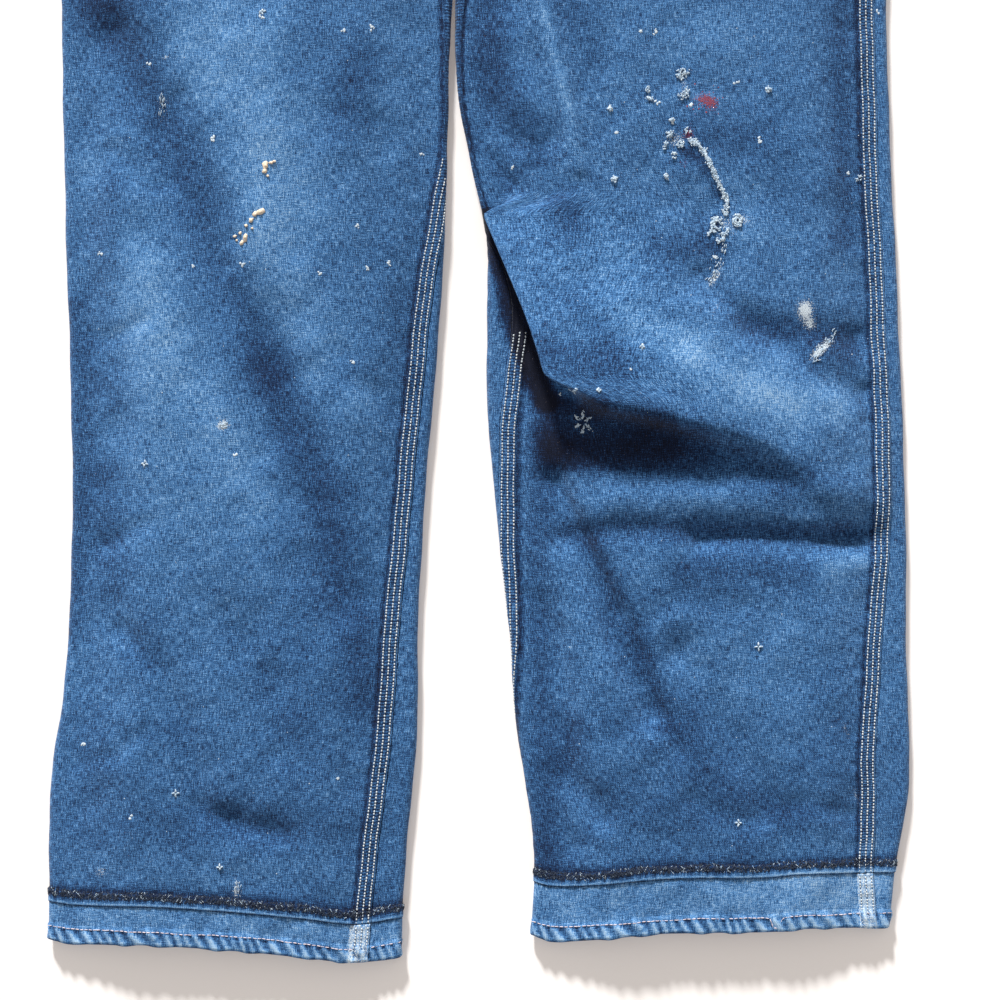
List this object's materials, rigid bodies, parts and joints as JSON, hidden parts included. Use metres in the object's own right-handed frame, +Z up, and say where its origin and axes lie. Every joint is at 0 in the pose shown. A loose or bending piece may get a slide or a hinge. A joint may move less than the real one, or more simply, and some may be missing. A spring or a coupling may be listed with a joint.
{
  "type": "paint spattered bib dungarees",
  "caption": "Worn blue denim bib-and-brace dungarees spattered with paint, laid flat on their back with the front up, straps buckled to the bib.",
  "frame": {"origin": "middle of the garment's outline on the surface it lies on", "axes": "+Y from the hems towards the bib, +X towards the wearer's left, +Z up off the surface, front of the garment up"},
  "size_m": [0.6214, 1.432, 0.045],
  "materials": {
    "denim": "faded slubby mid-blue denim, spattered with white, cream and red paint",
    "hem_denim": "paler, more worn denim with a roped lower edge",
    "wire": "bent steel wire, lightly worn",
    "button": "dulled metal, plain and unmarked"
  },
  "bodies": {
    "root": {"right_leg_front": "denim", "right_leg_back": "denim", "right_hem_front": "hem_denim", "right_hem_back": "hem_denim", "left_leg_front": "denim", "left_leg_back": "denim", "left_hem_front": "hem_denim", "left_hem_back": "hem_denim", "waistband": "denim", "bib": "denim", "back_yoke": "denim", "right_strap": "denim", "right_buckle": "wire", "right_bib_button": "button", "right_waist_button": "button", "right_hip_button": "button", "left_strap": "denim", "left_buckle": "wire", "left_bib_button": "button", "left_waist_button": "button", "left_hip_button": "button"}
  },
  "joints": []
}
